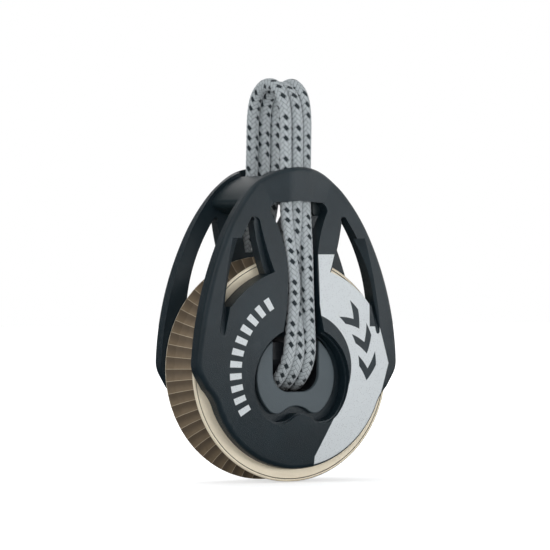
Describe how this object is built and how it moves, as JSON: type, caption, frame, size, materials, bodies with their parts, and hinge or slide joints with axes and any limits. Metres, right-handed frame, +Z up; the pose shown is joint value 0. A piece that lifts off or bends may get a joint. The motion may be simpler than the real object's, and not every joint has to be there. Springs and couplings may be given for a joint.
{
  "type": "single ratchet sheave block",
  "caption": "Single sheave block with a soft lashing round a sliding hub, open-sided cheeks, a faceted ratchet sheave on ball bearings and a load-sensing pawl mechanism.",
  "frame": {"origin": "centre of the sheave, on its axis and midway between its flanges", "axes": "+X across the block, +Y along the sheave's axis away from the front cheek, +Z up towards the head and the lashing"},
  "size_m": [0.0586, 0.0274, 0.1021],
  "materials": {
    "cheek_nylon": "fine matte black-grey moulding",
    "spacer_nylon": "satin black-grey moulding",
    "sheave_anodised": "hard anodised pale champagne, satin",
    "hub_composite": "grey speckled moulding, matte",
    "stainless": "stainless, fine turned",
    "hard_steel": "hardened, ground",
    "ball_resin": "pale bearing resin, smooth",
    "spring_wire": "bright drawn wire",
    "bronze": "bearing bronze, satin",
    "braid": "pale grey braid with black flecks"
  },
  "bodies": {
    "cheeks": {"front_cheek": "cheek_nylon", "rear_cheek": "cheek_nylon", "left_head_spacer": "spacer_nylon", "right_head_spacer": "spacer_nylon", "head_screws": "stainless", "bearing_race": "stainless", "front_ball_washer": "bronze", "pawl_pin_washer": "stainless", "pawl_pins": "stainless", "pawl_springs": "spring_wire", "spring_seat": "spacer_nylon"},
    "hub": {"hub_core": "hub_composite", "front_hub_plate": "hub_composite", "rear_hub_plate": "hub_composite", "hub_screws": "stainless", "trip_arms": "stainless", "load_springs": "spring_wire", "lashing": "braid"},
    "balls": {"front_ball_row": "ball_resin", "rear_ball_row": "ball_resin", "ball_spacer_ring": "bronze"},
    "sheave": {"sheave": "sheave_anodised", "ratchet_ring": "hard_steel"},
    "right_pawl": {"right_pawl": "hard_steel"},
    "left_pawl": {"left_pawl": "hard_steel"}
  },
  "joints": [
    {"name": "sheave_spin", "type": "hinge", "parent": "cheeks", "child": "sheave", "pos_m": [0, 0, 0], "axis": [0, 1, 0], "continuous": true},
    {"name": "ball_orbit", "type": "hinge", "parent": "cheeks", "child": "balls", "pos_m": [0, 0, 0], "axis": [0, 1, 0], "continuous": true},
    {"name": "hub_slide", "type": "slide", "parent": "cheeks", "child": "hub", "axis": [0, 0, 1], "range_m": [0, 0.001], "stiffness_N_per_m": 4000, "springref_m": -0.0002, "deforming": ["load_springs"]},
    {"name": "right_pawl_pivot", "type": "hinge", "parent": "cheeks", "child": "right_pawl", "pos_m": [0.01332, 0.0054, -0.0104], "axis": [0, 1, 0], "range_deg": [-12, 0]},
    {"name": "left_pawl_pivot", "type": "hinge", "parent": "cheeks", "child": "left_pawl", "pos_m": [-0.01332, 0.0054, 0.0104], "axis": [0, 1, 0], "range_deg": [-12, 0]}
  ],
  "couplings": [
    {"joint": "ball_orbit", "follows": "sheave_spin", "ratio": 0.547},
    {"joint": "right_pawl_pivot", "follows": "hub_slide", "rad_per_m": -139.6},
    {"joint": "left_pawl_pivot", "follows": "hub_slide", "rad_per_m": -139.6}
  ]
}
